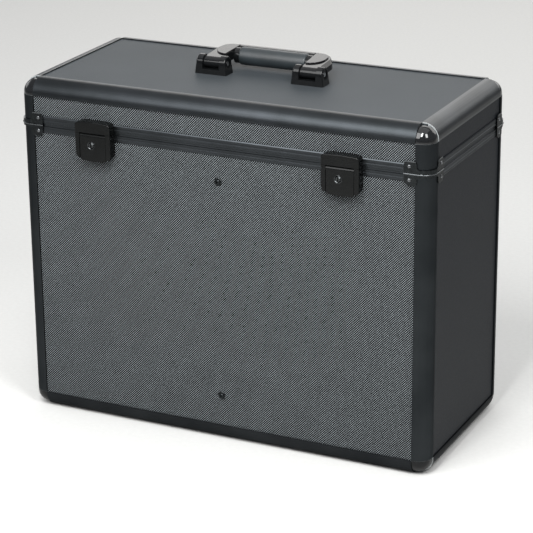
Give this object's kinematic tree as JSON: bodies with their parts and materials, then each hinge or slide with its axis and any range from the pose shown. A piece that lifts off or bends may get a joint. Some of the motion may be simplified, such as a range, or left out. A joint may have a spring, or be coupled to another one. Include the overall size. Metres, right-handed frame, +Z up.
{
  "type": "lighting flight case",
  "caption": "Upright case for lighting gear: panels framed by rounded edge extrusions and ball corners, hinged lid with folding handle, key latches, foam pads and a divider.",
  "frame": {"origin": "middle of the underside, at the level of the surface that the case stands on", "axes": "+X to the right seen from the front, +Y from the latches towards the hinges, +Z up"},
  "size_m": [0.5344, 0.2627, 0.4468],
  "materials": {
    "edge_extrusion": "black anodised, satin",
    "rim_extrusion": "black anodised, fine drawn lines",
    "embossed_laminate": "plywood with an embossed grey-blue laminate",
    "smooth_laminate": "plywood with a fine-grained grey laminate",
    "divider_board": "plywood, dark laminate",
    "gloss_black_plastic": "gloss",
    "black_zinc": "black, semi-gloss",
    "blackened_steel": "blackened, satin",
    "bright_steel": "plated, bright",
    "grip_rubber": "smooth, satin",
    "foam": "open-cell foam"
  },
  "bodies": {
    "case": {"body_bracket_rivets": "blackened_steel", "body_corner_edges": "edge_extrusion", "body_panel_back": "embossed_laminate", "body_panel_front": "embossed_laminate", "body_panel_left": "smooth_laminate", "body_panel_right": "smooth_laminate", "body_rim_brackets": "blackened_steel", "body_rims_long": "rim_extrusion", "body_rims_short": "rim_extrusion", "bottom_corner_caps": "gloss_black_plastic", "bottom_edges_long": "edge_extrusion", "bottom_edges_short": "edge_extrusion", "bottom_panel": "smooth_laminate", "divider_panel": "divider_board", "divider_screws": "blackened_steel", "divider_washers": "blackened_steel", "floor_pad_left": "foam", "floor_pad_right": "foam", "hinge_body_rivets": "blackened_steel", "hinge_lower_leaves": "blackened_steel", "hinge_pins": "bright_steel", "latch_base_left": "black_zinc", "latch_base_right": "black_zinc", "latch_pins": "bright_steel", "latch_rivets": "bright_steel"},
    "lid": {"handle_foot_left": "gloss_black_plastic", "handle_foot_right": "gloss_black_plastic", "handle_pins": "bright_steel", "handle_screws": "bright_steel", "hinge_lid_rivets": "blackened_steel", "hinge_upper_leaves": "blackened_steel", "keeper_screws": "bright_steel", "latch_keeper_left": "black_zinc", "latch_keeper_right": "black_zinc", "lid_bracket_rivets": "blackened_steel", "lid_corner_caps": "gloss_black_plastic", "lid_corner_edges": "edge_extrusion", "lid_edges_long": "edge_extrusion", "lid_edges_short": "edge_extrusion", "lid_pad": "foam", "lid_panel_back": "embossed_laminate", "lid_panel_front": "embossed_laminate", "lid_panel_left": "smooth_laminate", "lid_panel_right": "smooth_laminate", "lid_panel_top": "smooth_laminate", "lid_rim_brackets": "blackened_steel", "lid_rims_long": "rim_extrusion", "lid_rims_short": "rim_extrusion"},
    "handle": {"handle_frame": "gloss_black_plastic", "handle_grip": "grip_rubber"},
    "flap_left": {"latch_flap_left": "black_zinc", "latch_claw_left": "bright_steel"},
    "flap_right": {"latch_flap_right": "black_zinc", "latch_claw_right": "bright_steel"},
    "key_left": {"key_cylinder_left": "bright_steel"},
    "key_right": {"key_cylinder_right": "bright_steel"}
  },
  "joints": [
    {"name": "lid_hinge", "type": "hinge", "parent": "case", "child": "lid", "pos_m": [0, 0.1227, 0.369], "axis": [-1, 0, 0], "range_deg": [0, 95]},
    {"name": "handle_pivot", "type": "hinge", "parent": "lid", "child": "handle", "pos_m": [0, 0, 0.4345], "axis": [1, 0, 0], "range_deg": [0, 170]},
    {"name": "latch_left", "type": "hinge", "parent": "case", "child": "flap_left", "pos_m": [-0.159, -0.1267, 0.3648], "axis": [-1, 0, 0], "range_deg": [0, 80]},
    {"name": "key_left_turn", "type": "hinge", "parent": "flap_left", "child": "key_left", "pos_m": [-0.161, -0.1309, 0.3542], "axis": [0, -1, 0], "range_deg": [0, 90]},
    {"name": "latch_right", "type": "hinge", "parent": "case", "child": "flap_right", "pos_m": [0.159, -0.1267, 0.3648], "axis": [-1, 0, 0], "range_deg": [0, 80]},
    {"name": "key_right_turn", "type": "hinge", "parent": "flap_right", "child": "key_right", "pos_m": [0.157, -0.1309, 0.3542], "axis": [0, -1, 0], "range_deg": [0, 90]}
  ]
}
